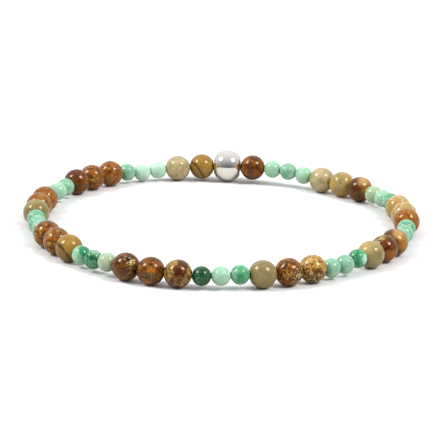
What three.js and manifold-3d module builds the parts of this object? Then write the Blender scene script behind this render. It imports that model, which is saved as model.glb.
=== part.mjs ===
// A stretch bracelet of round stone beads, lying in a loose loop on a flat surface.
// Three jasper beads and three smaller jade beads take turns all the way round one elastic
// cord, and a polished silver bead sits inside the jasper group at the back.
//
// Frame: millimetres, +Z up, the surface at z = 0, the origin under the middle of the loop's box.
// The first jade trio is at the front, towards -Y, and the silver bead is at the back.

import * as THREE from "three";
import { mergeVertices } from "three/addons/utils/BufferGeometryUtils.js";
import Module from "manifold-3d";

const wasm = await Module();
wasm.setup();

// ---------- Driving dimensions ----------
// A bead is a ball with flat ends: "rim" is the diameter of each flat end, "hole" the diameter
// of the drilled hole, and "pitch" the length of cord that the bead takes up. "sides" and
// "bands" are the numbers of facets round the hole and from end to end.

const JASPER = { kind: "jasper", diameter: 4.1, pitch: 4.03, rim: 1.5, hole: 0.9, sides: 14, bands: 5 };
const JADE = { kind: "jade", diameter: 2.85, pitch: 2.75, rim: 1.24, hole: 0.84, sides: 10, bands: 5 };
const SILVER = { kind: "silver", diameter: 5.2, pitch: 4.46, rim: 2.94, hole: 1.9, sides: 14, bands: 5 };

const CORD_DIAMETER = 0.4;
const CORD_SIDES = 5;

// Jade beads are fused in threes: their ends reach past the joints between them, and one
// drilled hole with this many sides runs through all three.
const FUSED_REACH = 0.05;
const DRILL_SIDES = 5;

// The cord's level run is at the height at which the jasper beads rest on the surface.
const CORD_HEIGHT = JASPER.diameter / 2;

// The middle of the front jade trio sits this far round from straight ahead, in degrees.
const LOOP_TURN = 2.1;

// ---------- Stones ----------

function polished(size, color) {
  return { ...size, material: new THREE.MeshStandardMaterial({ color, roughness: 0.25 }) };
}

const KHAKI = polished(JASPER, 0x9c9068);
const GOLDEN = polished(JASPER, 0xb58443);
const RUST = polished(JASPER, 0x8a4d22);
const MINT = polished(JADE, 0xa3d4b6);
const GREEN = polished(JADE, 0x58a780);
const DEEP = polished(JADE, 0x2f6d48);

const SHINY = {
  ...SILVER,
  material: new THREE.MeshStandardMaterial({ color: 0xdedcd8, roughness: 0.12, metalness: 1 }),
};
const CORD_MATERIAL = new THREE.MeshStandardMaterial({ color: 0xe8e4dc, roughness: 0.4 });

// One row for each group of like beads, anticlockwise from the front. "radius" is the loop's
// radius at the middle of the group, so the loop is a little uneven. "droop" is how far the
// cord hangs below its level run at the joints inside the group, and "entry" the same at the
// joint before it: the tall silver bead holds the cord up on both sides of it.
const GROUPS = [
  { beads: [DEEP, MINT, GREEN], radius: 30.7, droop: [0.3, -0.15] },
  { beads: [KHAKI, RUST, GOLDEN], radius: 30 },
  { beads: [GREEN, MINT, GREEN], radius: 29.4, droop: [0.7, -0.15] },
  { beads: [KHAKI, RUST, GOLDEN], radius: 29.3 },
  { beads: [GREEN, MINT, MINT], radius: 29.7, droop: [0.25, 0.35] },
  { beads: [GOLDEN, KHAKI, GOLDEN], radius: 30.6 },
  { beads: [GREEN, MINT, MINT], radius: 31.5, droop: [-0.1, 0.25] },
  { beads: [GOLDEN, KHAKI, KHAKI], radius: 31.7 },
  { beads: [MINT, MINT, GREEN], radius: 31.4, droop: [-0.45, -0.6] },
  { beads: [RUST, SHINY, GOLDEN, KHAKI], radius: 31.6, entry: -0.55, droop: [-0.55, -0.55] },
  { beads: [MINT, MINT, GREEN], radius: 31.6, droop: [0.5, 0.45] },
  { beads: [GOLDEN, RUST, RUST], radius: 30.2 },
  { beads: [GREEN, MINT, MINT], radius: 28.5, droop: [0.35, 0.1] },
  { beads: [GOLDEN, KHAKI, RUST], radius: 27.7 },
  { beads: [MINT, MINT, GREEN], radius: 27.6, droop: [0.15, 0.25] },
  { beads: [RUST, RUST, GOLDEN], radius: 28.1 },
  { beads: [MINT, DEEP, MINT], radius: 29.6, droop: [0.4, 0] },
  { beads: [RUST, RUST, GOLDEN], radius: 30.9 },
];

// ---------- The loop ----------

const sum = (numbers) => numbers.reduce((total, number) => total + number, 0);
const groupLength = (group) => sum(group.beads.map((bead) => bead.pitch));
const LOOP_LENGTH = sum(GROUPS.map(groupLength));

// The closed curve through the middles of the groups, as long as the string of beads.
function loopCurve() {
  let run = -groupLength(GROUPS[0]) / 2;
  const middles = GROUPS.map((group) => {
    const share = (run + groupLength(group) / 2) / LOOP_LENGTH;
    run += groupLength(group);
    const bearing = 2 * Math.PI * share + THREE.MathUtils.degToRad(LOOP_TURN);
    return new THREE.Vector3(Math.sin(bearing), -Math.cos(bearing), 0).multiplyScalar(group.radius);
  });
  const drawn = new THREE.CatmullRomCurve3(middles, true);
  const scale = LOOP_LENGTH / drawn.getLength();
  const curve = new THREE.CatmullRomCurve3(middles.map((point) => point.multiplyScalar(scale)), true);
  curve.arcLengthDivisions = 3600;
  return curve;
}

// The point of the cord at a distance along the loop from the middle of the front trio.
function cordPoint(curve, distance, droop) {
  const share = (distance / LOOP_LENGTH + 1) % 1;
  return curve.getPointAt(share).setZ(CORD_HEIGHT - droop);
}

// Each group's beads with the joints before and after them, in order round the loop.
function threadBeads() {
  const curve = loopCurve();
  let run = -groupLength(GROUPS[0]) / 2;
  return GROUPS.map((group, row) => {
    const next = GROUPS[(row + 1) % GROUPS.length];
    const droops = [group.entry, ...(group.droop ?? [])];
    const droopAt = (joint) => (joint === group.beads.length ? next.entry : droops[joint]) ?? 0;
    return group.beads.map((bead, place) => {
      const start = cordPoint(curve, run, droopAt(place));
      run += bead.pitch;
      return { bead, start, end: cordPoint(curve, run, droopAt(place + 1)) };
    });
  });
}

// ---------- Beads ----------

// The wall of a bead from one flat end to the other, as (distance from the hole's axis, distance
// along it). The flats of its facets lie at the true radius. An end that is fused to a
// neighbour is carried a little past the joint between them.
function beadWall(bead, startFused, endFused) {
  const radius = bead.diameter / 2;
  const rim = bead.rim / 2;
  const freeEnd = Math.sqrt(radius ** 2 - rim ** 2);
  const fusedEnd = bead.pitch / 2 + FUSED_REACH;
  const bandAngle = (2 * Math.atan2(freeEnd, rim)) / bead.bands;
  const cornerAlong = radius / Math.cos(bandAngle / 2);
  const cornerAcross = cornerAlong / Math.cos(Math.PI / bead.sides);
  const wall = [new THREE.Vector2(rim, startFused ? -fusedEnd : -freeEnd)];
  for (let corner = 1; corner < bead.bands; corner += 1) {
    const latitude = (corner - bead.bands / 2) * bandAngle;
    wall.push(new THREE.Vector2(cornerAcross * Math.cos(latitude), cornerAlong * Math.sin(latitude)));
  }
  wall.push(new THREE.Vector2(rim, endFused ? fusedEnd : freeEnd));
  return wall;
}

// Starting half a facet round puts the middle of one facet straight down.
function turnedSolid(outline, sides) {
  return new THREE.LatheGeometry(outline, sides, Math.PI / sides);
}

function drilledBead(bead) {
  const wall = beadWall(bead, false, false);
  const holeStart = new THREE.Vector2(bead.hole / 2, wall[0].y);
  const holeEnd = new THREE.Vector2(bead.hole / 2, wall.at(-1).y);
  return turnedSolid([holeStart, ...wall, holeEnd, holeStart.clone()], bead.sides);
}

function undrilledBead(bead, startFused, endFused) {
  const wall = beadWall(bead, startFused, endFused);
  const axisStart = new THREE.Vector2(0, wall[0].y);
  const axisEnd = new THREE.Vector2(0, wall.at(-1).y);
  return turnedSolid([axisStart, ...wall, axisEnd], bead.sides);
}

// Sets a bead's hole along the cord from one joint to the next, with one facet kept underneath.
function placeOnCord(mesh, { bead, start, end }) {
  const along = end.clone().sub(start).normalize();
  const across = new THREE.Vector3().crossVectors(along, new THREE.Vector3(0, 0, 1)).normalize();
  const upright = new THREE.Vector3().crossVectors(across, along);
  mesh.quaternion.setFromRotationMatrix(new THREE.Matrix4().makeBasis(across, along, upright));
  mesh.position.copy(start).add(end).multiplyScalar(0.5);
}

function singleBead(name, threaded) {
  const mesh = new THREE.Mesh(drilledBead(threaded.bead), threaded.bead.material);
  mesh.name = name;
  placeOnCord(mesh, threaded);
  return mesh;
}

// ---------- Fused trios ----------

function toSolid(geometry) {
  const bare = geometry.clone().deleteAttribute("normal").deleteAttribute("uv");
  const merged = mergeVertices(bare, 1e-4);
  const vertProperties = new Float32Array(merged.getAttribute("position").array);
  const triVerts = new Uint32Array(merged.getIndex().array);
  return new wasm.Manifold(new wasm.Mesh({ numProp: 3, vertProperties, triVerts }));
}

function toGeometry(solid) {
  const { vertProperties, triVerts } = solid.getMesh();
  const geometry = new THREE.BufferGeometry();
  geometry.setAttribute("position", new THREE.BufferAttribute(vertProperties, 3));
  geometry.setIndex(new THREE.BufferAttribute(triVerts, 1));
  geometry.computeVertexNormals();
  return geometry;
}

// The drill's path runs one pitch past the trio at both ends, so its steps meet every joint.
function trioDrill(trio) {
  const joints = [...trio.map((threaded) => threaded.start), trio.at(-1).end];
  const before = joints[0].clone().multiplyScalar(2).sub(joints[1]);
  const after = joints.at(-1).clone().multiplyScalar(2).sub(joints.at(-2));
  const path = new THREE.CatmullRomCurve3([before, ...joints, after]);
  const circle = new THREE.EllipseCurve(0, 0, JADE.hole / 2, JADE.hole / 2);
  const section = new THREE.Shape(circle.getPoints(DRILL_SIDES).slice(1));
  return new THREE.ExtrudeGeometry(section, { steps: joints.length + 1, extrudePath: path });
}

// Three jade beads joined rim to rim, with one hole through them, in the middle one's colour.
function jadeTrio(name, trio) {
  const solids = trio.map((threaded, place) => {
    const bead = new THREE.Mesh(undrilledBead(threaded.bead, place > 0, place < trio.length - 1));
    placeOnCord(bead, threaded);
    bead.updateMatrix();
    return toSolid(bead.geometry.applyMatrix4(bead.matrix));
  });
  const joined = solids.reduce((whole, solid) => whole.add(solid));
  const drilled = joined.subtract(toSolid(trioDrill(trio)));
  const mesh = new THREE.Mesh(toGeometry(drilled), trio[1].bead.material);
  mesh.name = name;
  return mesh;
}

// ---------- Cord ----------

// A closed path that runs straight from joint to joint and steps through every joint in turn.
class CordRoute extends THREE.Curve {
  constructor(joints) {
    super();
    this.joints = joints;
  }

  joint(place) {
    const count = this.joints.length;
    return this.joints[(place + count) % count];
  }

  getPointAt(share, target = new THREE.Vector3()) {
    const place = share * this.joints.length;
    const last = Math.floor(place);
    return target.lerpVectors(this.joint(last), this.joint(last + 1), place - last);
  }

  getTangentAt(share, target = new THREE.Vector3()) {
    const place = Math.round(share * this.joints.length);
    return target.subVectors(this.joint(place + 1), this.joint(place - 1)).normalize();
  }
}

function elasticCord(beads) {
  const joints = beads.map((threaded) => threaded.start);
  const route = new CordRoute(joints);
  const geometry = new THREE.TubeGeometry(route, joints.length, CORD_DIAMETER / 2, CORD_SIDES, true);
  const mesh = new THREE.Mesh(geometry, CORD_MATERIAL);
  mesh.name = "elastic_cord";
  return mesh;
}

// ---------- Assembly ----------

const bracelet = new THREE.Group();
bracelet.name = "bracelet";
const groups = threadBeads();
let jasperCount = 0;
let trioCount = 0;
for (const group of groups) {
  if (group[0].bead.kind === JADE.kind) {
    trioCount += 1;
    bracelet.add(jadeTrio(`jade_trio_${trioCount}`, group));
    continue;
  }
  for (const threaded of group) {
    if (threaded.bead.kind === SILVER.kind) {
      bracelet.add(singleBead("silver_bead", threaded));
    } else {
      jasperCount += 1;
      bracelet.add(singleBead(`jasper_bead_${String(jasperCount).padStart(2, "0")}`, threaded));
    }
  }
}
bracelet.add(elasticCord(groups.flat()));

// The origin is moved under the middle of the finished loop's box.
const middle = new THREE.Box3().setFromObject(bracelet, true).getCenter(new THREE.Vector3());
bracelet.position.set(-middle.x, -middle.y, 0);

export default bracelet;
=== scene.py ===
"""A stretch bracelet of polished jasper and jade beads with one silver bead, dressed over its solids.

Everything is in metres, +Z up, with the surface at z = 0 and the front towards -Y. The beads' sizes
are driving values here, and their places are read from the solids: the cord's solid has one ring of
corners between each two beads, so every bead's hole runs from one ring to the next.
"""

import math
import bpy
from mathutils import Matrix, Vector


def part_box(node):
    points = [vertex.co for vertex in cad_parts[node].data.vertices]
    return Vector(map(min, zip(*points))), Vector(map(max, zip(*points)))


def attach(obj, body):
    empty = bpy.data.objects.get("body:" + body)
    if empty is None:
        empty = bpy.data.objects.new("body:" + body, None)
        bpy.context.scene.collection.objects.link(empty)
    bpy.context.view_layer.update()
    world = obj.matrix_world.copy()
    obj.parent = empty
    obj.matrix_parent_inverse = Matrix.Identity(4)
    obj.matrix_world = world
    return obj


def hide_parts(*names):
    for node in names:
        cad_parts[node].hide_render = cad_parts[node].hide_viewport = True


bl_info = {
    "name": "Beaded bracelet",
    "version": (1, 0, 0),
    "blender": (4, 5, 0),
    "location": "3D View > Sidebar > Bracelet",
    "description": "Makes the stones, silver bead and elastic of a beaded bracelet, and its stage",
    "category": "Object",
}

import bmesh
import bpy
import numpy as np
from mathutils import Matrix, Vector

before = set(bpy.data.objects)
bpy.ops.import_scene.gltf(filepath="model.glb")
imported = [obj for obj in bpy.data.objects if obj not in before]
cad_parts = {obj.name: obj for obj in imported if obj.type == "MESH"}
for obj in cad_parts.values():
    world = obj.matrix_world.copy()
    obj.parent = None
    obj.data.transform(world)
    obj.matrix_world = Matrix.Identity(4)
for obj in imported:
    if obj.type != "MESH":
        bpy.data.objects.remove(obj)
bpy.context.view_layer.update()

MM = 0.001
UP = Vector((0, 0, 1))
CORD_NODE = "elastic_cord"
SILVER_NODE = "silver_bead"

# The viewer looks down at the loop from this angle above the surface. Stones are turned by the same
# angle, so that a stone's own axes are right, away from the viewer and up as the viewer sees it.
SHOWN_TILT = math.radians(15.7)

# From the middle of the loop towards each lamp: right, away from the viewer and up.
LAMPS = {
    "left_softbox": Vector((-0.695, -0.074, 0.716)),
    "right_softbox": Vector((0.576, -0.298, 0.762)),
}

# Beads whose seeds differ by one are cut this far apart in the stone, in radii. The jasper beads'
# seeds are their numbers, and the jade beads' seeds follow on from JADE_SEED.
SEED_STEP = 17.3
JADE_SEED = 42


def tint(code):
    """A colour written as #rrggbb, as the linear values that shaders use."""
    shares = [int(code[place:place + 2], 16) / 255 for place in (1, 3, 5)]
    linear = [s / 12.92 if s <= 0.04045 else ((s + 0.055) / 1.055) ** 2.4 for s in shares]
    return (*linear, 1.0)


# ---------- Values that a user may change ----------


def length(name, description, default):
    return bpy.props.FloatProperty(
        name=name, description=description, default=default, min=0.0, unit="LENGTH", precision=5
    )


def amount(name, description, default):
    return bpy.props.FloatProperty(name=name, description=description, default=default, min=0.0)


def colour(name, description, code):
    return bpy.props.FloatVectorProperty(
        name=name, description=description, default=tint(code), size=4, min=0.0, max=1.0, subtype="COLOR"
    )


class BraceletSizes(bpy.types.PropertyGroup):
    jasper_diameter: length("Jasper bead", "Diameter of the larger stone beads", 4.1 * MM)
    jasper_hole: length("Jasper hole", "Diameter of the hole drilled through them", 0.9 * MM)
    jade_diameter: length("Jade bead", "Diameter of the smaller stone beads", 2.85 * MM)
    jade_hole: length("Jade hole", "Diameter of the hole drilled through them", 0.84 * MM)
    stone_lip: length("Stone lip", "Width of the rounded edge round each drilled hole", 0.07 * MM)
    silver_diameter: length("Silver bead", "Diameter of the silver bead", 5.2 * MM)
    silver_hole: length("Silver hole", "Diameter of the silver bead's hole", 1.9 * MM)
    silver_lip: length("Silver lip", "Width of the turned end round the silver bead's hole", 0.52 * MM)
    cord_diameter: length("Elastic", "Diameter of the elastic cord", 0.4 * MM)


class BraceletColours(bpy.types.PropertyGroup):
    khaki: colour("Khaki", "Ground of the plain grey-tan jasper", "#897c54")
    sand: colour("Sand", "Light clouds in the plain jasper", "#a7996c")
    moss: colour("Moss", "Green-brown streaks in the plain jasper", "#6a6236")
    cream: colour("Cream", "Palest grains in the jasper", "#d6b576")
    chalk: colour("Chalk", "Greyish clouds in the palest jasper", "#cbbb93")
    gold: colour("Gold", "Ground of the golden jasper", "#bf9648")
    ochre: colour("Ochre", "Yellow-brown veins and clouds", "#9b7430")
    olive: colour("Olive", "Dull green-brown clouds", "#766030")
    orange: colour("Orange", "Warm blotches in the brown jasper", "#9d5a12")
    ember: colour("Ember", "Brightest orange of the brown jasper", "#cf7a1c")
    rust: colour("Rust", "Ground of the brown jasper", "#723d0c")
    umber: colour("Umber", "Ground of the dark red-brown jasper", "#451d0a")
    soot: colour("Soot", "Near-black grains and seams", "#190c06")
    mint: colour("Mint", "Ground of the pale jade", "#a5ceb1")
    sage: colour("Sage", "Ground of the dull green jade", "#88b89d")
    frost: colour("Frost", "Lightest clouds in the pale jade", "#c3e2cf")
    celadon: colour("Celadon", "Grey-green of the palest jade", "#abbfa3")
    leaf: colour("Leaf", "Ground of the mid-green jade", "#5ba67d")
    vivid: colour("Vivid", "Bright green streaks", "#1f8a55")
    fern: colour("Fern", "Clouds in the dark jade", "#356a40")
    deep: colour("Deep", "Ground of the dark jade", "#164a22")
    gleam: colour("Gleam", "Warm tint of the light on the polished jasper", "#ffe9c8")
    silver: colour("Silver", "Polished silver", "#efece7")
    # The elastic is clear-white. This darker grey is painted shade, because the cord is only seen in the
    # shade of the holes round it.
    elastic: colour("Elastic", "Clear-white elastic, dulled by the holes round it", "#857f74")
    floor: colour("Floor", "White surface under the bracelet", "#f5f4f6")
    bounce: colour("Bounce", "The same surface as the beads reflect it", "#cfccc7")


class BraceletStage(bpy.types.PropertyGroup):
    camera_distance: length("Camera distance", "From the middle of the loop to the camera", 380.3 * MM)
    camera_lens: amount("Lens", "Focal length of the camera in millimetres", 201.5)
    lamp_strength: amount("Lamps", "Brightness of the two lamps, where a white wall is 1", 15.8)
    surround_strength: amount("Surround", "Brightness of the white walls round the stage", 0.73)


# ---------- Places, read from the solids ----------


def cord_joints():
    """The points of the cord between neighbouring beads, anticlockwise round the loop from the front."""
    corners = np.array([corner.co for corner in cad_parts[CORD_NODE].data.vertices])
    # The solid's triangles are loose, so each corner is there more than once.
    corners = np.unique(np.round(corners, 7), axis=0)
    bearings = np.arctan2(corners[:, 0], -corners[:, 1])
    order = np.argsort(bearings)
    steps = np.diff(bearings[order], append=bearings[order[0]] + 2 * math.pi)
    widest = int(np.argmax(steps))
    order, steps = np.roll(order, -widest - 1), np.roll(steps, -widest - 1)
    # The steps inside a ring are far smaller than those from ring to ring.
    ring_ends = np.flatnonzero(steps > steps.max() / 4) + 1
    rings = np.split(corners[order], ring_ends[:-1])
    return [Vector(ring.mean(axis=0)) for ring in rings]


def middle_of(span):
    start, end = span
    return (start + end) / 2


def thread_spans():
    """Node name -> the (start, end) joints of each bead in it, in order round the loop."""
    spans = list(zip(JOINTS, JOINTS[1:] + JOINTS[:1]))
    found = {}
    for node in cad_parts:
        if node == CORD_NODE:
            continue
        low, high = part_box(node)
        middle = (low + high) / 2
        offsets = [(middle_of(span) - middle).xy.length for span in spans]
        nearest = offsets.index(min(offsets))
        reach = 1 if node.startswith("jade_trio") else 0
        found[node] = [spans[(nearest + step) % len(spans)] for step in range(-reach, reach + 1)]
    return found


JOINTS = cord_joints()
SPANS = thread_spans()


def thread_matrix(span):
    """Turns a bead's own Z, its hole, along the thread, and sets the bead midway in its span."""
    start, end = span
    along = (end - start).normalized()
    across = along.cross(UP).normalized()
    upright = across.cross(along)
    turn = Matrix((upright, across, along)).transposed()
    return Matrix.Translation(middle_of(span)) @ turn.to_4x4()


# ---------- Modelling helpers ----------


def deselect_all():
    if bpy.context.object and bpy.context.object.mode != "OBJECT":
        bpy.ops.object.mode_set(mode="OBJECT")
    bpy.ops.object.select_all(action="DESELECT")


def select_rings(bead, reach, height):
    """Selects the level rings this far from the bead's axis and middle, and gives their true reach."""
    near = 0.02 * MM
    bpy.ops.mesh.select_mode(type="EDGE")
    bpy.ops.mesh.select_all(action="DESELECT")
    mesh = bmesh.from_edit_mesh(bead.data)
    reaches = []
    for edge in mesh.edges:
        ends = [end.co for end in edge.verts]
        is_level = abs(ends[0].z - ends[1].z) < near
        is_there = all(abs(co.xy.length - reach) < near and abs(abs(co.z) - height) < near for co in ends)
        edge.select = is_level and is_there
        if edge.select:
            reaches.append(ends[0].xy.length)
    bmesh.update_edit_mesh(bead.data)
    if not reaches:
        raise RuntimeError(f"{bead.name} has no ring {reach / MM:.3f} mm from its axis")
    return max(reaches)


def check_shell(bead):
    """Raises unless the mesh in edit mode is closed and has one hole through it."""
    mesh = bmesh.from_edit_mesh(bead.data)
    is_closed = all(len(edge.link_faces) == 2 for edge in mesh.edges)
    if not is_closed or len(mesh.verts) - len(mesh.edges) + len(mesh.faces) != 0:
        raise RuntimeError(f"{bead.name} is not a closed ball with one hole through it")


def make_ball_bead(name, radius, hole, lip, segments, bevel_steps):
    """A ball with its hole along Z: both poles cut flat, turned inwards and joined by a bore."""
    deselect_all()
    bpy.ops.mesh.primitive_uv_sphere_add(segments=segments, ring_count=segments // 2, radius=radius)
    bead = bpy.context.object
    bead.name = name
    flat = hole / 2 + lip
    end = math.sqrt(radius**2 - flat**2)
    # Each of the lip's two edges is rounded by this much, which leaves a fifth of it flat.
    rounding = 0.4 * lip
    # The tools' own 0.1 mm for these two would be too coarse for so small a bead.
    cut_snap, merge_gap = 0.001 * MM, 0.0005 * MM
    smooth_below = math.radians(40)
    bpy.ops.object.mode_set(mode="EDIT")
    for side in (1, -1):
        plane = {"plane_co": (0, 0, side * end), "plane_no": (0, 0, side)}
        bpy.ops.mesh.select_all(action="SELECT")
        bpy.ops.mesh.bisect(**plane, clear_outer=True, threshold=cut_snap)
    shrink = (hole / 2) / select_rings(bead, flat, end)
    bpy.ops.mesh.extrude_region_move()
    bpy.ops.transform.resize(value=(shrink, shrink, 1), center_override=(0, 0, 0))
    bpy.ops.mesh.bridge_edge_loops()
    for reach in (hole / 2, flat):
        select_rings(bead, reach, end)
        bpy.ops.mesh.bevel(offset=rounding, segments=bevel_steps, clamp_overlap=True)
    bpy.ops.mesh.select_all(action="SELECT")
    bpy.ops.mesh.remove_doubles(threshold=merge_gap)
    bpy.ops.mesh.normals_make_consistent(inside=False)
    check_shell(bead)
    bpy.ops.object.mode_set(mode="OBJECT")
    bpy.ops.object.shade_smooth_by_angle(angle=smooth_below)
    return bead


def copy_in_place(master, name, span, material):
    """A copy of a modelled bead with its own mesh, moved in that mesh to its place on the thread."""
    piece = master.copy()
    piece.data = master.data.copy()
    piece.name = name
    piece.data.name = name
    piece.data.transform(thread_matrix(span))
    piece.data.materials.append(material)
    bpy.context.scene.collection.objects.link(piece)
    return piece


def hand_over(piece, node):
    """Hangs a finished piece on the root body and hides the solid that it stands for."""
    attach(piece, "root")
    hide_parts(node)


# ---------- Shader wiring ----------


def feed(tree, socket, value):
    if isinstance(value, bpy.types.NodeSocket):
        tree.links.new(value, socket)
    else:
        socket.default_value = value


def add_node(tree, kind, inputs=None, **settings):
    node = tree.nodes.new(kind)
    for setting, value in settings.items():
        setattr(node, setting, value)
    for socket, value in (inputs or {}).items():
        feed(tree, node.inputs[socket], value)
    return node


def maths(tree, operation, first, second=0.0):
    return add_node(tree, "ShaderNodeMath", {0: first, 1: second}, operation=operation).outputs[0]


def vector_maths(tree, operation, first, second, output="Vector"):
    node = add_node(tree, "ShaderNodeVectorMath", {0: first, 1: second}, operation=operation)
    return node.outputs[output]


def ramp(tree, value, start, stop):
    """0 at start and 1 at stop, with a smooth turn at both."""
    inputs = {"Value": value, "From Min": start, "From Max": stop}
    node = add_node(tree, "ShaderNodeMapRange", inputs, interpolation_type="SMOOTHSTEP")
    return node.outputs["Result"]


def line_at(tree, gap, width):
    """0 where the gap from a line's middle is its width or more, and 1 in the core of the line."""
    core = maths(tree, "MULTIPLY", width, 0.4)
    return ramp(tree, gap, width, core)


def noise(tree, point, scale, detail=2.0, warp=0.0, output="Fac"):
    inputs = {"Vector": point, "Scale": scale, "Detail": detail, "Distortion": warp}
    return add_node(tree, "ShaderNodeTexNoise", inputs).outputs[output]


def mixed_colour(tree, share, under, over):
    """The colour under where the share is 0, and the one over it where the share is 1."""
    mix = add_node(tree, "ShaderNodeMix", data_type="RGBA")
    sockets = {socket.identifier: socket for socket in (*mix.inputs, *mix.outputs)}
    feed(tree, sockets["Factor_Float"], share)
    feed(tree, sockets["A_Color"], under)
    feed(tree, sockets["B_Color"], over)
    return sockets["Result_Color"]


class Effect:
    """A shader node group being wired: inside holds its inputs by name, and give feeds its outputs."""

    def __init__(self, name, numbers=(), vectors=(), colours=(), gives=("Mask",)):
        self.tree = bpy.data.node_groups.new(name, "ShaderNodeTree")
        for label in ("Point", "Seed", *vectors):
            self.tree.interface.new_socket(label, in_out="INPUT", socket_type="NodeSocketVector")
        for label in numbers:
            self.tree.interface.new_socket(label, in_out="INPUT", socket_type="NodeSocketFloat")
        for label in colours:
            self.tree.interface.new_socket(label, in_out="INPUT", socket_type="NodeSocketColor")
        for label in gives:
            kind = "NodeSocketColor" if label == "Color" else "NodeSocketFloat"
            self.tree.interface.new_socket(label, in_out="OUTPUT", socket_type=kind)
        self.inside = self.tree.nodes.new("NodeGroupInput").outputs
        self.outside = self.tree.nodes.new("NodeGroupOutput").inputs

    def seeded_point(self):
        """The point on the bead, moved by the seed so that no two beads have the same figure."""
        return vector_maths(self.tree, "ADD", self.inside["Point"], self.inside["Seed"])

    def shaken_point(self):
        """The point moved about by noise, as far as Ragged says at the scale of Grain."""
        tree = self.tree
        cloud = noise(tree, self.seeded_point(), self.inside["Grain"], detail=3.0, output="Color")
        centred = vector_maths(tree, "SUBTRACT", cloud, (0.5, 0.5, 0.5))
        inputs = {0: centred, "Scale": self.inside["Ragged"]}
        shift = add_node(tree, "ShaderNodeVectorMath", inputs, operation="SCALE")
        return vector_maths(tree, "ADD", self.inside["Point"], shift.outputs["Vector"])

    def give(self, value, label="Mask"):
        self.tree.links.new(value, self.outside[label])
        return self.tree


def broken(effect, line):
    """Rubs out the line wherever a noise of its own is below Breaks."""
    tree, inside = effect.tree, effect.inside
    finer, fade = 1.3, 0.05
    cover = noise(tree, effect.seeded_point(), maths(tree, "MULTIPLY", inside["Scale"], finer))
    kept = ramp(tree, cover, inside["Breaks"], maths(tree, "ADD", inside["Breaks"], fade))
    return maths(tree, "MULTIPLY", line, kept)


def reached(effect, gap, reach):
    """1 where the gap is less than this reach, fading to 0 over the width of Edge to each side."""
    tree, edge = effect.tree, effect.inside["Edge"]
    return ramp(tree, gap, maths(tree, "ADD", reach, edge), maths(tree, "SUBTRACT", reach, edge))


def clouds_effect():
    """Soft clouds: the share above Low rises to full at High."""
    effect = Effect("clouds", ("Scale", "Warp", "Low", "High"))
    inside = effect.inside
    cloud = noise(effect.tree, effect.seeded_point(), inside["Scale"], detail=4.0, warp=inside["Warp"])
    return effect.give(ramp(effect.tree, cloud, inside["Low"], inside["High"]))


def patch_effect():
    """One ragged patch round a point on the bead."""
    effect = Effect("patch", ("Reach", "Edge", "Ragged", "Grain"), vectors=("Middle",))
    inside = effect.inside
    gap = vector_maths(effect.tree, "DISTANCE", effect.shaken_point(), inside["Middle"], "Value")
    return effect.give(reached(effect, gap, inside["Reach"]))


def band_effect():
    """One wavy layer through the bead, square to Across and Offset from its middle."""
    effect = Effect("band", ("Offset", "Width", "Edge", "Ragged", "Grain"), vectors=("Across",))
    inside, tree = effect.inside, effect.tree
    level = vector_maths(tree, "DOT_PRODUCT", effect.shaken_point(), inside["Across"], "Value")
    gap = maths(tree, "ABSOLUTE", maths(tree, "SUBTRACT", level, inside["Offset"]))
    return effect.give(reached(effect, gap, inside["Width"]))


def lines_effect():
    """Thin wavy lines side by side, as the layers of the stone come to its surface."""
    effect = Effect("lines", ("Spacing", "Width", "Ragged", "Grain"), vectors=("Across",))
    inside, tree = effect.inside, effect.tree
    level = vector_maths(tree, "DOT_PRODUCT", effect.shaken_point(), inside["Across"], "Value")
    place = maths(tree, "FRACT", maths(tree, "DIVIDE", level, inside["Spacing"]))
    gap = maths(tree, "ABSOLUTE", maths(tree, "SUBTRACT", place, 0.5))
    return effect.give(line_at(tree, gap, inside["Width"]))


def net_effect():
    """A broken net of dark seams round rounded grains."""
    effect = Effect("net", ("Scale", "Width", "Breaks", "Ragged", "Grain"))
    inside, tree = effect.inside, effect.tree
    moved = vector_maths(tree, "ADD", effect.shaken_point(), inside["Seed"])
    inputs = {"Vector": moved, "Scale": inside["Scale"]}
    cells = add_node(tree, "ShaderNodeTexVoronoi", inputs, feature="DISTANCE_TO_EDGE")
    seams = line_at(tree, cells.outputs["Distance"], inside["Width"])
    return effect.give(broken(effect, seams))


def specks_effect():
    """Small uneven specks, more of them as Amount rises from 0 to 1."""
    effect = Effect("specks", ("Scale", "Warp", "Amount"))
    inside, tree = effect.inside, effect.tree
    rarest, span, fade = 0.7, 0.34, 0.04
    grains = noise(tree, effect.seeded_point(), inside["Scale"], detail=1.5, warp=inside["Warp"])
    start = maths(tree, "SUBTRACT", rarest, maths(tree, "MULTIPLY", inside["Amount"], span))
    return effect.give(ramp(tree, grains, start, maths(tree, "ADD", start, fade)))


def veins_effect():
    """Meandering veins, whole where Breaks is 0 and in short worm-like pieces where it is near 0.5."""
    effect = Effect("veins", ("Scale", "Warp", "Width", "Breaks"))
    inside, tree = effect.inside, effect.tree
    field = noise(tree, effect.seeded_point(), inside["Scale"], warp=inside["Warp"])
    gap = maths(tree, "ABSOLUTE", maths(tree, "SUBTRACT", field, 0.5))
    return effect.give(broken(effect, line_at(tree, gap, inside["Width"])))


def overlay_effect():
    """Puts one colour over another where the mask says."""
    effect = Effect("overlay", ("Mask", "Strength"), colours=("Under", "Over"), gives=("Color",))
    inside, tree = effect.inside, effect.tree
    share = maths(tree, "MULTIPLY", inside["Mask"], inside["Strength"])
    return effect.give(mixed_colour(tree, share, inside["Under"], inside["Over"]), "Color")


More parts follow.
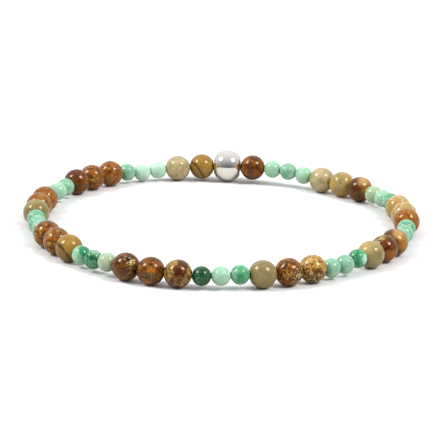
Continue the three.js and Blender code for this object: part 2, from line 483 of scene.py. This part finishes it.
def polish_effect():
    """A hand-polished surface: roughness a little uneven, with fine pits and wheel marks."""
    effect = Effect("polish", ("Smooth", "Rough", "Pits"), gives=("Roughness", "Height"))
    inside, tree = effect.inside, effect.tree
    point = effect.seeded_point()
    pit_floor, pit_rim, mark_height = 0.3, 0.42, 0.06
    smear = noise(tree, point, scale=2.5, detail=3.0)
    span = maths(tree, "SUBTRACT", inside["Rough"], inside["Smooth"])
    uneven = maths(tree, "ADD", inside["Smooth"], maths(tree, "MULTIPLY", smear, span))
    effect.give(uneven, "Roughness")
    level = ramp(tree, noise(tree, point, scale=14.0), pit_floor, pit_rim)
    pits = maths(tree, "MULTIPLY", level, inside["Pits"])
    marks = maths(tree, "MULTIPLY", noise(tree, point, scale=45.0, detail=1.0), mark_height)
    return effect.give(maths(tree, "ADD", pits, marks), "Height")


EFFECTS = {
    "clouds": clouds_effect,
    "patch": patch_effect,
    "band": band_effect,
    "lines": lines_effect,
    "net": net_effect,
    "specks": specks_effect,
    "veins": veins_effect,
    "overlay": overlay_effect,
    "polish": polish_effect,
}


def effect_group(name):
    """The node group of an effect, wired when the first finish asks for it."""
    return bpy.data.node_groups.get(name) or EFFECTS[name]()


class Finish:
    """A material while it is mixed: a ground colour, then figure laid over it, then its gloss."""

    def __init__(self, name, middle, radius, seed):
        self.material = bpy.data.materials.new(name)
        self.material.use_nodes = True
        self.tree = self.material.node_tree
        self.shader = self.tree.nodes["Principled BSDF"]
        self.seed = (0.0, 0.0, SEED_STEP * seed)
        self.colours = bpy.context.scene.bracelet_colours
        inputs = {
            "Vector": self.tree.nodes.new("ShaderNodeTexCoord").outputs["Object"],
            "Location": middle,
            "Rotation": (-SHOWN_TILT, 0, 0),
            "Scale": (radius, radius, radius),
        }
        mapping = add_node(self.tree, "ShaderNodeMapping", inputs, vector_type="TEXTURE")
        self.point = mapping.outputs["Vector"]
        self.colour = None

    def effect(self, name, **values):
        """Places an effect in the material with its own values."""
        inputs = {label.capitalize(): value for label, value in values.items()}
        node = self.tree.nodes.new("ShaderNodeGroup")
        node.node_tree = effect_group(name)
        for socket, value in {"Point": self.point, "Seed": self.seed, **inputs}.items():
            feed(self.tree, node.inputs[socket], value)
        return node.outputs

    def mask(self, name, **values):
        return self.effect(name, **values)["Mask"]

    def patch(self, right, high, **values):
        """A patch round the point this far right and high, in radii, on the side towards the viewer."""
        near = -math.sqrt(max(0.0, 1 - right**2 - high**2))
        return self.mask("patch", middle=(right, near, high), **values)

    def band(self, **values):
        """A layer through the bead, across the direction right, away from the viewer and up."""
        return self.mask("band", **values)

    def ground(self, tone):
        self.colour = getattr(self.colours, tone)

    def lay(self, tone, strength, mask):
        """Lays a colour over what is there, where the mask says."""
        over = getattr(self.colours, tone)
        laid = self.effect("overlay", under=self.colour, over=over, mask=mask, strength=strength)
        self.colour = laid["Color"]

    def within(self, mask, region):
        """The mask only where the region is."""
        return maths(self.tree, "MULTIPLY", mask, region)

    def either(self, mask, other):
        """The stronger of two masks at each point."""
        return maths(self.tree, "MAXIMUM", mask, other)

    def figure(self, tone, strength, effect, inside=None, **values):
        """Lays a colour over as clouds, specks, veins or a net, everywhere or in a region."""
        mask = self.mask(effect, **values)
        if inside is not None:
            mask = self.within(mask, inside)
        self.lay(tone, strength, mask)

    def polish(self, smooth, rough, pits, depth):
        """Feeds the shader the colour, an uneven gloss and the surface's fine pits."""
        feed(self.tree, self.shader.inputs["Base Color"], self.colour)
        surface = self.effect("polish", smooth=smooth, rough=rough, pits=pits)
        feed(self.tree, self.shader.inputs["Roughness"], surface["Roughness"])
        bump = add_node(self.tree, "ShaderNodeBump", {"Height": surface["Height"], "Distance": depth})
        feed(self.tree, self.shader.inputs["Normal"], bump.outputs["Normal"])

    def set(self, values):
        """Sets constants on the shader's own sockets."""
        for socket, value in values.items():
            self.shader.inputs[socket].default_value = value


# ---------- Jasper ----------


def plain_jasper(stone):
    """Grey-tan all over, with soft clouds, moss streaks and a faint web of ochre veins."""
    stone.ground("khaki")
    stone.figure("sand", 0.6, "clouds", scale=1.3, warp=0.3, low=0.42, high=0.64)
    stone.figure("moss", 0.35, "clouds", scale=2.6, warp=1.2, low=0.5, high=0.7)
    stone.figure("ochre", 0.35, "veins", scale=1.5, warp=0.8, width=0.05, breaks=0.4)
    stone.figure("moss", 0.3, "specks", scale=14.0, warp=0.3, amount=0.4)


def warm_jasper(stone):
    """The plain grey-tan stone, paler, with a golden shoulder on its left."""
    plain_jasper(stone)
    stone.figure("sand", 0.75, "clouds", scale=1.1, warp=0.4, low=0.36, high=0.6)
    stone.lay("cream", 0.55, stone.patch(-0.5, 0.55, reach=0.5, edge=0.3, ragged=0.3, grain=2.0))
    stone.lay("gold", 0.5, stone.patch(-0.7, 0.4, reach=0.4, edge=0.25, ragged=0.3, grain=2.0))


def olive_jasper(stone):
    """Golden olive with khaki and brown clouds."""
    stone.ground("gold")
    stone.figure("sand", 0.85, "clouds", scale=1.4, warp=0.6, low=0.38, high=0.58)
    stone.figure("olive", 0.4, "clouds", scale=2.0, warp=0.8, low=0.52, high=0.66)
    stone.figure("rust", 0.6, "veins", scale=2.2, warp=1.0, width=0.03, breaks=0.48)


def pale_jasper(stone):
    """Pale greyish tan with soft darker clouds."""
    stone.ground("sand")
    stone.figure("chalk", 0.7, "clouds", scale=1.5, warp=0.6, low=0.4, high=0.6)
    stone.figure("khaki", 0.6, "clouds", scale=2.0, warp=0.9, low=0.52, high=0.68)
    stone.figure("ochre", 0.5, "veins", scale=2.0, warp=1.0, width=0.03, breaks=0.46)


def netted_jasper(stone):
    """Orange-brown and gold grains parted by near-black worm-like seams, cream and black to the right."""
    stone.ground("orange")
    stone.figure("rust", 0.7, "clouds", scale=2.4, warp=0.8, low=0.44, high=0.58)
    stone.figure("gold", 0.7, "clouds", scale=3.0, warp=1.2, low=0.5, high=0.62)
    side = stone.patch(0.8, -0.16, reach=0.62, edge=0.14, ragged=0.4, grain=2.5)
    stone.lay("olive", 0.7, side)
    stone.figure("cream", 0.9, "specks", inside=side, scale=3.6, warp=0.6, amount=0.9)
    stone.figure("soot", 0.95, "specks", inside=side, scale=4.0, warp=1.8, amount=0.52)
    stone.figure("umber", 0.8, "net", scale=2.2, width=0.13, breaks=0.46, ragged=0.5, grain=2.4)
    stone.figure("soot", 0.85, "veins", scale=2.0, warp=1.6, width=0.05, breaks=0.46)
    stone.figure("umber", 0.9, "specks", scale=3.2, warp=1.6, amount=0.4)


def gold_topped_jasper(stone):
    """Golden above with short brown dashes, a broken red-brown seam, and grey-gold and black below."""
    stone.ground("gold")
    stone.figure("cream", 0.8, "clouds", scale=2.4, warp=0.5, low=0.46, high=0.6)
    below = stone.band(across=(0.25, 0.0, 1.0), offset=-1.0, width=0.72, edge=0.07, ragged=0.4, grain=2.2)
    stone.lay("olive", 0.7, below)
    stone.figure("cream", 0.7, "specks", inside=below, scale=3.6, warp=1.0, amount=0.7)
    band = stone.band(across=(0.1, 0.0, 1.0), offset=-0.2, width=0.17, edge=0.07, ragged=0.9, grain=2.6)
    right = stone.patch(0.75, -0.2, reach=0.8, edge=0.25, ragged=0.6, grain=2.0)
    seam = stone.within(band, right)
    stone.lay("rust", 0.65, seam)
    stone.figure("umber", 0.9, "clouds", inside=seam, scale=3.0, warp=1.2, low=0.44, high=0.52)
    stone.figure("rust", 0.95, "veins", scale=3.0, warp=1.2, width=0.05, breaks=0.48)
    stone.figure("umber", 0.9, "specks", scale=4.0, warp=1.8, amount=0.44)
    stone.figure("soot", 0.95, "specks", inside=below, scale=4.0, warp=1.8, amount=0.52)


def banded_jasper(stone):
    """A ragged dark brown band between olive and cream sides that carry thin dark lines."""
    stone.ground("olive")
    stone.figure("gold", 0.7, "clouds", scale=1.9, warp=1.4, low=0.44, high=0.6)
    stone.figure("cream", 0.6, "clouds", scale=2.6, warp=1.0, low=0.54, high=0.64)
    stripes = stone.mask("lines", across=(0.9, 0.1, 0.4), spacing=0.3, width=0.24, ragged=0.7, grain=1.5)
    stone.lay("umber", 0.7, stripes)
    band = stone.band(across=(0.94, 0.1, -0.3), offset=0.02, width=0.42, edge=0.08, ragged=0.9, grain=1.8)
    stone.lay("rust", 0.95, band)
    stone.figure("umber", 0.95, "clouds", inside=band, scale=2.0, warp=0.8, low=0.4, high=0.54)
    low = stone.patch(0.1, -0.62, reach=0.42, edge=0.1, ragged=0.5, grain=2.6)
    stone.figure("gold", 0.6, "specks", inside=low, scale=3.6, warp=1.2, amount=0.45)
    stone.lay("gold", 0.6, stone.patch(-0.3, 0.7, reach=0.3, edge=0.12, ragged=0.5, grain=2.4))
    stone.figure("soot", 0.85, "veins", scale=2.4, warp=1.2, width=0.03, breaks=0.5)


def ember_jasper(stone):
    """Rust, with a bright orange heart and olive and black patches below it."""
    stone.ground("rust")
    stone.figure("umber", 0.9, "clouds", scale=2.4, warp=1.2, low=0.44, high=0.56)
    stone.figure("orange", 0.75, "clouds", scale=1.8, warp=0.8, low=0.5, high=0.62)
    stone.lay("orange", 1.0, stone.patch(0.06, 0.04, reach=0.26, edge=0.14, ragged=0.7, grain=2.4))
    stone.lay("ember", 0.9, stone.patch(0.08, -0.02, reach=0.2, edge=0.12, ragged=0.8, grain=2.8))
    low = stone.patch(-0.05, -0.38, reach=0.34, edge=0.1, ragged=0.6, grain=2.4)
    stone.lay("olive", 0.8, low)
    stone.figure("soot", 0.95, "specks", inside=low, scale=4.6, warp=1.2, amount=0.6)
    stone.lay("orange", 0.9, stone.patch(-0.2, -0.8, reach=0.3, edge=0.12, ragged=0.5, grain=2.0))
    stone.figure("olive", 0.6, "specks", scale=2.6, warp=1.2, amount=0.36)
    stone.figure("soot", 0.85, "veins", scale=2.6, warp=1.4, width=0.03, breaks=0.52)
    stone.figure("soot", 0.85, "specks", scale=4.4, warp=1.5, amount=0.24)


def dark_jasper(stone):
    """Dark red-brown, with a cream patch full of black grains running down its right side."""
    stone.ground("umber")
    stone.figure("rust", 0.85, "clouds", scale=2.6, warp=1.0, low=0.46, high=0.58)
    stone.figure("ochre", 0.6, "specks", scale=4.6, warp=1.0, amount=0.3)
    low = stone.band(across=(0.1, 0.0, 1.0), offset=-1.0, width=0.62, edge=0.16, ragged=0.4, grain=2.0)
    stone.lay("olive", 0.25, low)
    stone.figure("gold", 0.35, "specks", inside=low, scale=3.8, warp=1.0, amount=0.4)
    high_patch = stone.patch(0.16, 0.58, reach=0.25, edge=0.08, ragged=0.7, grain=2.6)
    low_patch = stone.patch(0.42, 0.22, reach=0.36, edge=0.08, ragged=0.7, grain=2.6)
    patch = stone.either(high_patch, low_patch)
    stone.lay("ochre", 0.7, patch)
    stone.figure("cream", 0.9, "specks", inside=patch, scale=3.6, warp=0.8, amount=0.62)
    stone.figure("soot", 1.0, "specks", inside=patch, scale=5.0, warp=1.0, amount=0.68)
    stone.figure("soot", 0.8, "veins", scale=2.6, warp=1.4, width=0.03, breaks=0.5)


def seamed_jasper(stone):
    """Golden ochre, with one dark seam low on the left, a faint one beyond it and duller stone there."""
    stone.ground("ochre")
    stone.figure("gold", 0.4, "clouds", scale=1.5, warp=0.4, low=0.44, high=0.66)
    stone.figure("olive", 0.4, "clouds", scale=1.2, warp=0.6, low=0.52, high=0.74)
    slope = (-0.74, -0.16, -0.65)
    beyond = stone.band(across=slope, offset=1.0, width=0.55, edge=0.05, ragged=0.3, grain=1.4)
    stone.lay("olive", 0.45, beyond)
    for offset, width, strength in ((0.47, 0.08, 0.85), (0.86, 0.05, 0.35)):
        seam = stone.band(across=slope, offset=offset, width=width, edge=0.07, ragged=0.4, grain=1.6)
        stone.lay("umber", strength, seam)


def mottled_jasper(stone):
    """Orange-brown and gold mottling with olive clouds and dark blotches."""
    stone.ground("rust")
    stone.figure("orange", 0.9, "clouds", scale=1.8, warp=1.0, low=0.4, high=0.54)
    stone.figure("gold", 0.75, "clouds", scale=2.4, warp=1.0, low=0.52, high=0.64)
    stone.figure("olive", 0.6, "clouds", scale=1.6, warp=0.8, low=0.54, high=0.66)
    stone.figure("umber", 0.85, "clouds", scale=2.2, warp=1.6, low=0.54, high=0.64)
    stone.figure("soot", 0.75, "veins", scale=2.6, warp=1.4, width=0.03, breaks=0.5)


def sunset_jasper(stone):
    """Dark red-brown at the left turning to orange and golden brown at the right."""
    stone.ground("orange")
    stone.figure("ochre", 0.7, "clouds", scale=1.7, warp=0.8, low=0.42, high=0.6)
    stone.figure("gold", 0.5, "clouds", scale=2.3, warp=0.8, low=0.52, high=0.66)
    stone.figure("rust", 0.7, "clouds", scale=1.8, warp=1.2, low=0.48, high=0.62)
    left = stone.band(across=(1.0, 0.0, 0.35), offset=-0.8, width=0.84, edge=0.26, ragged=0.5, grain=1.8)
    stone.lay("umber", 0.85, left)
    stone.lay("cream", 0.55, stone.patch(0.25, 0.62, reach=0.42, edge=0.25, ragged=0.5, grain=2.0))


def umber_jasper(stone):
    """Dark red-brown with a golden foot, and cream and black grains high on the left."""
    stone.ground("umber")
    stone.figure("rust", 0.85, "clouds", scale=1.8, warp=0.8, low=0.42, high=0.58)
    stone.lay("orange", 0.85, stone.patch(0.45, -0.6, reach=0.55, edge=0.25, ragged=0.5, grain=2.0))
    crown = stone.patch(-0.42, 0.74, reach=0.38, edge=0.1, ragged=0.5, grain=2.4)
    stone.lay("cream", 0.75, crown)
    stone.figure("soot", 0.9, "specks", inside=crown, scale=4.0, warp=1.0, amount=0.6)


def russet_jasper(stone):
    """Orange-brown all over, softly clouded with ochre and dark brown."""
    stone.ground("orange")
    stone.figure("ochre", 0.7, "clouds", scale=1.5, warp=0.8, low=0.42, high=0.6)
    stone.figure("rust", 0.75, "clouds", scale=1.9, warp=1.0, low=0.46, high=0.62)
    stone.figure("gold", 0.5, "clouds", scale=2.3, warp=0.8, low=0.56, high=0.7)
    stone.figure("soot", 0.6, "veins", scale=2.4, warp=1.2, width=0.025, breaks=0.52)


def chestnut_jasper(stone):
    """Dark brown with orange-brown clouds."""
    stone.ground("rust")
    stone.figure("umber", 0.8, "clouds", scale=1.6, warp=0.8, low=0.42, high=0.58)
    stone.figure("orange", 0.8, "clouds", scale=2.1, warp=1.0, low=0.5, high=0.64)
    stone.figure("soot", 0.6, "veins", scale=2.4, warp=1.2, width=0.025, breaks=0.52)


def sandy_jasper(stone):
    """Pale golden tan with soft brown clouds."""
    stone.ground("gold")
    stone.figure("sand", 0.75, "clouds", scale=1.5, warp=0.5, low=0.42, high=0.6)
    stone.figure("ochre", 0.25, "clouds", scale=2.0, warp=0.8, low=0.5, high=0.66)
    stone.figure("chalk", 0.8, "clouds", scale=2.4, warp=0.6, low=0.44, high=0.62)
    stone.figure("rust", 0.45, "veins", scale=2.2, warp=1.0, width=0.03, breaks=0.48)
    stone.figure("rust", 0.5, "specks", scale=4.5, warp=0.8, amount=0.2)


# ---------- Jade ----------

# How far red, green and blue light goes into jade before it comes out again.
JADE_GLOW = {
    "Subsurface Weight": 0.8,
    "Subsurface Radius": (0.7, 1.0, 0.8),
    "Subsurface Scale": 1.3 * MM,
}


def deep_jade(stone):
    """Dark green, with paler flecks towards the foot."""
    stone.ground("deep")
    stone.figure("fern", 0.8, "clouds", scale=1.8, warp=0.8, low=0.42, high=0.6)
    flecks = stone.patch(-0.4, -0.45, reach=0.4, edge=0.2, ragged=0.4, grain=2.0)
    stone.figure("leaf", 0.5, "specks", inside=flecks, scale=3.6, warp=0.6, amount=0.6)


def mint_jade(stone):
    """Pale mint with the faintest clouds."""
    stone.ground("mint")
    stone.figure("leaf", 0.3, "clouds", scale=1.4, warp=0.8, low=0.5, high=0.78)
    stone.figure("frost", 0.4, "clouds", scale=1.7, warp=0.4, low=0.48, high=0.68)


def leaf_jade(stone):
    """Mid green with pale sides and a darker streak low down the middle."""
    stone.ground("leaf")
    stone.figure("mint", 0.6, "clouds", scale=1.5, warp=0.7, low=0.5, high=0.68)
    stone.lay("vivid", 0.75, stone.patch(0.05, -0.35, reach=0.42, edge=0.22, ragged=0.4, grain=1.8))
    stone.lay("frost", 0.5, stone.patch(-0.9, 0.1, reach=0.4, edge=0.2, ragged=0.3, grain=1.8))


def streaked_jade(stone):
    """Bright green with a dark upright streak and a pale right side."""
    stone.ground("leaf")
    stone.figure("vivid", 0.6, "clouds", scale=1.8, warp=0.8, low=0.46, high=0.62)
    stone.lay("frost", 0.85, stone.patch(0.85, 0.0, reach=0.55, edge=0.18, ragged=0.3, grain=1.8))
    streak = stone.band(across=(1.0, 0.0, 0.1), offset=-0.02, width=0.12, edge=0.1, ragged=0.35, grain=2.0)
    stone.lay("vivid", 0.85, streak)


def corner_jade(stone):
    """Pale mint with one bright green corner high on the right."""
    stone.ground("mint")
    stone.figure("sage", 0.5, "clouds", scale=1.6, warp=0.4, low=0.4, high=0.6)
    stone.lay("leaf", 0.6, stone.patch(0.6, 0.45, reach=1.05, edge=0.2, ragged=0.35, grain=1.8))
    stone.lay("vivid", 0.9, stone.patch(0.6, 0.45, reach=0.85, edge=0.12, ragged=0.35, grain=1.8))


def marbled_jade(stone):
    """Dark green marbled through mid green under a greyish crown."""
    stone.ground("leaf")
    stone.figure("vivid", 0.8, "clouds", scale=1.6, warp=1.2, low=0.4, high=0.56)
    stone.lay("sage", 0.55, stone.patch(0.0, -0.4, reach=0.42, edge=0.2, ragged=0.4, grain=1.8))
    stone.figure("fern", 0.7, "clouds", scale=2.2, warp=1.4, low=0.5, high=0.62)
    sweep = stone.band(across=(0.5, 0.0, 1.0), offset=0.1, width=0.17, edge=0.12, ragged=0.9, grain=1.6)
    stone.lay("deep", 0.75, sweep)
    stone.lay("celadon", 0.6, stone.patch(0.2, 0.85, reach=0.5, edge=0.15, ragged=0.3, grain=2.0))


def celadon_jade(stone):
    """Pale grey-green with a faint buff heart."""
    stone.ground("celadon")
    stone.figure("mint", 0.5, "clouds", scale=1.4, warp=0.4, low=0.48, high=0.72)
    stone.lay("chalk", 0.45, stone.patch(0.25, -0.1, reach=0.5, edge=0.4, ragged=0.3, grain=1.6))
    stone.figure("fern", 0.3, "clouds", scale=1.8, warp=0.8, low=0.6, high=0.8)


def clouded_jade(stone):
    """Dull light green, with mid green gathering low on the left."""
    stone.ground("sage")
    stone.figure("mint", 0.5, "clouds", scale=1.5, warp=0.6, low=0.46, high=0.64)
    stone.lay("leaf", 0.5, stone.patch(-0.5, -0.35, reach=0.4, edge=0.3, ragged=0.5, grain=1.8))
    stone.lay("frost", 0.5, stone.patch(0.3, -0.7, reach=0.4, edge=0.3, ragged=0.5, grain=1.8))


def misty_jade(stone):
    """Dull mid green under pale clouds."""
    stone.ground("sage")
    stone.figure("leaf", 0.6, "clouds", scale=1.4, warp=0.8, low=0.42, high=0.62)
    stone.figure("celadon", 0.5, "clouds", scale=1.9, warp=0.6, low=0.52, high=0.68)


def frosted_jade(stone):
    """The palest mint, clouded with white."""
    stone.ground("frost")
    stone.figure("mint", 0.5, "clouds", scale=1.5, warp=0.6, low=0.46, high=0.66)


# ---------- Which bead is cut from which stone, anticlockwise from the front ----------

JASPER_STONES = (
    plain_jasper, netted_jasper, gold_topped_jasper,
    warm_jasper, umber_jasper, sunset_jasper,
    russet_jasper, sandy_jasper, sandy_jasper,
    sunset_jasper, olive_jasper, pale_jasper,
    chestnut_jasper, seamed_jasper, pale_jasper,
    mottled_jasper, mottled_jasper, chestnut_jasper,
    russet_jasper, russet_jasper, plain_jasper,
    mottled_jasper, mottled_jasper, seamed_jasper,
    dark_jasper, ember_jasper, banded_jasper,
)

JADE_STONES = (
    (deep_jade, mint_jade, leaf_jade),
    (clouded_jade, clouded_jade, streaked_jade),
    (clouded_jade, clouded_jade, misty_jade),
    (leaf_jade, mint_jade, celadon_jade),
    (mint_jade, clouded_jade, mint_jade),
    (frosted_jade, frosted_jade, clouded_jade),
    (clouded_jade, mint_jade, clouded_jade),
    (misty_jade, clouded_jade, clouded_jade),
    (corner_jade, marbled_jade, celadon_jade),
)


# ---------- Operators ----------


class MakeJasperBeads(bpy.types.Operator):
    """Models one drilled jasper bead and sets a copy of it, cut from its own stone, at each place"""

    bl_idname = "bracelet.jasper_beads"
    bl_label = "Jasper beads"

    def execute(self, context):
        sizes = context.scene.bracelet_sizes
        radius = sizes.jasper_diameter / 2
        hole, lip = sizes.jasper_hole, sizes.stone_lip
        master = make_ball_bead("jasper_master", radius, hole, lip, segments=64, bevel_steps=3)
        gleam = context.scene.bracelet_colours.gleam
        for number, cut in enumerate(JASPER_STONES, start=1):
            node = f"jasper_bead_{number:02d}"
            span = SPANS[node][0]
            stone = Finish(f"jasper_{number:02d}", middle_of(span), radius, seed=number)
            cut(stone)
            stone.polish(smooth=0.07, rough=0.14, pits=0.06, depth=0.01 * MM)
            stone.set({"IOR": 1.58, "Specular IOR Level": 0.4, "Specular Tint": gleam})
            piece = copy_in_place(master, f"jasper_stone_{number:02d}", span, stone.material)
            hand_over(piece, node)
        bpy.data.objects.remove(master)
        return {"FINISHED"}


class MakeJadeBeads(bpy.types.Operator):
    """Models one drilled jade bead and strings copies of it in threes, each cut from its own stone"""

    bl_idname = "bracelet.jade_beads"
    bl_label = "Jade beads"

    def execute(self, context):
        sizes = context.scene.bracelet_sizes
        radius = sizes.jade_diameter / 2
        hole, lip = sizes.jade_hole, sizes.stone_lip
        master = make_ball_bead("jade_master", radius, hole, lip, segments=48, bevel_steps=2)
        seed = JADE_SEED
        for number, cuts in enumerate(JADE_STONES, start=1):
            node = f"jade_trio_{number}"
            beads = []
            for place, (cut, span) in enumerate(zip(cuts, SPANS[node], strict=True), start=1):
                seed += 1
                stone = Finish(f"jade_{number}_{place}", middle_of(span), radius, seed)
                cut(stone)
                stone.polish(smooth=0.08, rough=0.15, pits=0.0, depth=0.008 * MM)
                stone.set({"IOR": 1.6, "Specular IOR Level": 0.3, **JADE_GLOW})
                name = f"jade_bead_{number}_{place}"
                beads.append(copy_in_place(master, name, span, stone.material))
            deselect_all()
            for bead in beads:
                bead.select_set(True)
            context.view_layer.objects.active = beads[0]
            bpy.ops.object.join()
            beads[0].name = f"jade_stones_{number}"
            hand_over(beads[0], node)
        bpy.data.objects.remove(master)
        return {"FINISHED"}


class MakeSilverBead(bpy.types.Operator):
    """Models the wide-holed silver bead, the tallest, which holds up the jasper beads beside it"""

    bl_idname = "bracelet.silver_bead"
    bl_label = "Silver bead"

    def execute(self, context):
        sizes = context.scene.bracelet_sizes
        radius = sizes.silver_diameter / 2
        hole, lip = sizes.silver_hole, sizes.silver_lip
        master = make_ball_bead("silver_master", radius, hole, lip, segments=96, bevel_steps=6)
        span = SPANS[SILVER_NODE][0]
        metal = Finish("silver", middle_of(span), radius, seed=0)
        metal.ground("silver")
        metal.polish(smooth=0.04, rough=0.12, pits=0.0, depth=0.01 * MM)
        metal.set({"Metallic": 1.0})
        piece = copy_in_place(master, "silver_ball", span, metal.material)
        hand_over(piece, SILVER_NODE)
        bpy.data.objects.remove(master)
        return {"FINISHED"}


class MakeElasticCord(bpy.types.Operator):
    """Runs the closed elastic cord through every bead"""

    bl_idname = "bracelet.elastic_cord"
    bl_label = "Elastic cord"

    def execute(self, context):
        deselect_all()
        curve = bpy.data.curves.new("elastic_thread", "CURVE")
        curve.dimensions = "3D"
        curve.bevel_depth = context.scene.bracelet_sizes.cord_diameter / 2
        curve.bevel_resolution = 3
        curve.resolution_u = 6
        spline = curve.splines.new("BEZIER")
        spline.bezier_points.add(len(JOINTS) - 1)
        for knot, joint in zip(spline.bezier_points, JOINTS, strict=True):
            knot.co = joint
            knot.handle_left_type = "AUTO"
            knot.handle_right_type = "AUTO"
        spline.use_cyclic_u = True
        cord = bpy.data.objects.new("elastic_thread", curve)
        context.scene.collection.objects.link(cord)
        cord.select_set(True)
        context.view_layer.objects.active = cord
        bpy.ops.object.convert(target="MESH")
        cord.data.shade_smooth()
        rubber = Finish("elastic", (0, 0, 0), MM, seed=0)
        # Painted shade: the cord is coloured a darker grey than its clear-white, because it only shows in
        # the shade of the holes.
        rubber.ground("elastic")
        rubber.figure("cream", 0.15, "clouds", scale=1.5, warp=0.5, low=0.5, high=0.7)
        rubber.polish(smooth=0.3, rough=0.5, pits=0.3, depth=0.02 * MM)
        rubber.set({"Subsurface Weight": 0.3, "Subsurface Scale": 0.3 * MM})
        cord.data.materials.append(rubber.material)
        hand_over(cord, CORD_NODE)
        return {"FINISHED"}


class SetStage(bpy.types.Operator):
    """Sets the white surface, the two lamps, the white surround and the camera"""

    bl_idname = "bracelet.stage"
    bl_label = "Stage"

    def execute(self, context):
        stage = context.scene.bracelet_stage
        make_floor()
        for name, towards in LAMPS.items():
            make_lamp(name, towards, stage.lamp_strength)
        make_surround(stage.surround_strength)
        make_camera(stage.camera_distance, stage.camera_lens)
        context.scene.view_settings.view_transform = "Standard"
        return {"FINISHED"}


def make_floor():
    """A wide white surface that can't be seen from underneath."""
    width = 2.4
    deselect_all()
    bpy.ops.mesh.primitive_circle_add(vertices=64, radius=width / 2, fill_type="NGON")
    floor = bpy.context.object
    floor.name = "white_floor"
    material = bpy.data.materials.new("white_floor")
    material.use_nodes = True
    tree = material.node_tree
    shader = tree.nodes["Principled BSDF"]
    colours = bpy.context.scene.bracelet_colours
    seen = tree.nodes.new("ShaderNodeLightPath").outputs["Is Camera Ray"]
    white = mixed_colour(tree, seen, colours.bounce, colours.floor)
    tree.links.new(white, shader.inputs["Base Color"])
    shader.inputs["Roughness"].default_value = 0.8
    shader.inputs["Specular IOR Level"].default_value = 0.2
    underside = tree.nodes.new("ShaderNodeNewGeometry").outputs["Backfacing"]
    clear = tree.nodes.new("ShaderNodeBsdfTransparent").outputs["BSDF"]
    mixed = add_node(tree, "ShaderNodeMixShader", {0: underside, 1: shader.outputs["BSDF"], 2: clear})
    tree.links.new(mixed.outputs["Shader"], tree.nodes["Material Output"].inputs["Surface"])
    floor.data.materials.append(material)


def make_lamp(name, towards, brightness):
    """A round softbox of this brightness, facing the middle of the bracelet."""
    distance, diameter = 3.0, 1.15
    area = math.pi * diameter**2 / 4
    lamp = bpy.data.lights.new(name, "AREA")
    lamp.shape = "DISK"
    lamp.size = diameter
    lamp.energy = brightness * math.pi * area
    holder = bpy.data.objects.new(name, lamp)
    holder.location = towards.normalized() * distance
    holder.rotation_mode = "QUATERNION"
    holder.rotation_quaternion = (-towards).to_track_quat("-Z", "Y")
    bpy.context.scene.collection.objects.link(holder)


def make_surround(brightness):
    """Pure white behind the bracelet; as light it is dimmer, most of all low on the viewer's side."""
    world = bpy.data.worlds.new("white_surround")
    world.use_nodes = True
    tree = world.node_tree
    backdrop = tree.nodes["Background"]
    backdrop.inputs["Color"].default_value = (1, 1, 1, 1)
    direction = tree.nodes.new("ShaderNodeTexCoord").outputs["Generated"]
    # The light from the sides, and what is added to it straight overhead and straight behind.
    sides, overhead, behind = 0.62 * brightness, 0.57 * brightness, 0.5 * brightness
    slope = vector_maths(tree, "DOT_PRODUCT", direction, Vector((0, behind, overhead)), "Value")
    light = maths(tree, "ADD", sides, slope)
    seen = tree.nodes.new("ShaderNodeLightPath").outputs["Is Camera Ray"]
    tree.links.new(maths(tree, "MAXIMUM", seen, light), backdrop.inputs["Strength"])
    bpy.context.scene.world = world


def make_camera(distance, lens):
    """Looks down at the loop from the front, a little turned about its own line of sight."""
    yaw = math.radians(-0.6)
    roll = math.radians(1.94)
    aim = Vector((-0.28, 0.41, 1.49)) * MM
    level = distance * math.cos(SHOWN_TILT)
    spot = Vector((level * math.sin(yaw), -level * math.cos(yaw), distance * math.sin(SHOWN_TILT)))
    data = bpy.data.cameras.new("camera")
    data.lens = lens
    data.sensor_width = 36.0
    data.clip_start = 0.01
    camera = bpy.data.objects.new("camera", data)
    camera.location = spot
    camera.rotation_mode = "QUATERNION"
    turn = (aim - spot).to_track_quat("-Z", "Y").to_matrix() @ Matrix.Rotation(roll, 3, "Z")
    camera.rotation_quaternion = turn.to_quaternion()
    bpy.context.scene.collection.objects.link(camera)
    bpy.context.scene.camera = camera


# ---------- Panel and registration ----------


class BraceletPanel(bpy.types.Panel):
    """The bracelet's sizes, colours and stage, with a button for each group of pieces"""

    bl_idname = "BRACELET_PT_make"
    bl_label = "Beaded bracelet"
    bl_space_type = "VIEW_3D"
    bl_region_type = "UI"
    bl_category = "Bracelet"

    def draw(self, context):
        scene = context.scene
        for group in (scene.bracelet_sizes, scene.bracelet_colours, scene.bracelet_stage):
            box = self.layout.box()
            for name in group.__annotations__:
                box.prop(group, name)
        for operator in OPERATORS:
            self.layout.operator(operator.bl_idname)


OPERATORS = (MakeElasticCord, MakeJasperBeads, MakeJadeBeads, MakeSilverBead, SetStage)
PROPERTY_GROUPS = {
    "bracelet_sizes": BraceletSizes,
    "bracelet_colours": BraceletColours,
    "bracelet_stage": BraceletStage,
}
CLASSES = (*PROPERTY_GROUPS.values(), *OPERATORS, BraceletPanel)


def register():
    for item in CLASSES:
        bpy.utils.register_class(item)
    for name, group in PROPERTY_GROUPS.items():
        setattr(bpy.types.Scene, name, bpy.props.PointerProperty(type=group))


def unregister():
    for name in PROPERTY_GROUPS:
        delattr(bpy.types.Scene, name)
    for item in reversed(CLASSES):
        bpy.utils.unregister_class(item)


def main():
    register()
    bpy.ops.bracelet.elastic_cord()
    bpy.ops.bracelet.jasper_beads()
    bpy.ops.bracelet.jade_beads()
    bpy.ops.bracelet.silver_bead()
    bpy.ops.bracelet.stage()


if __name__ == "__main__":
    main()
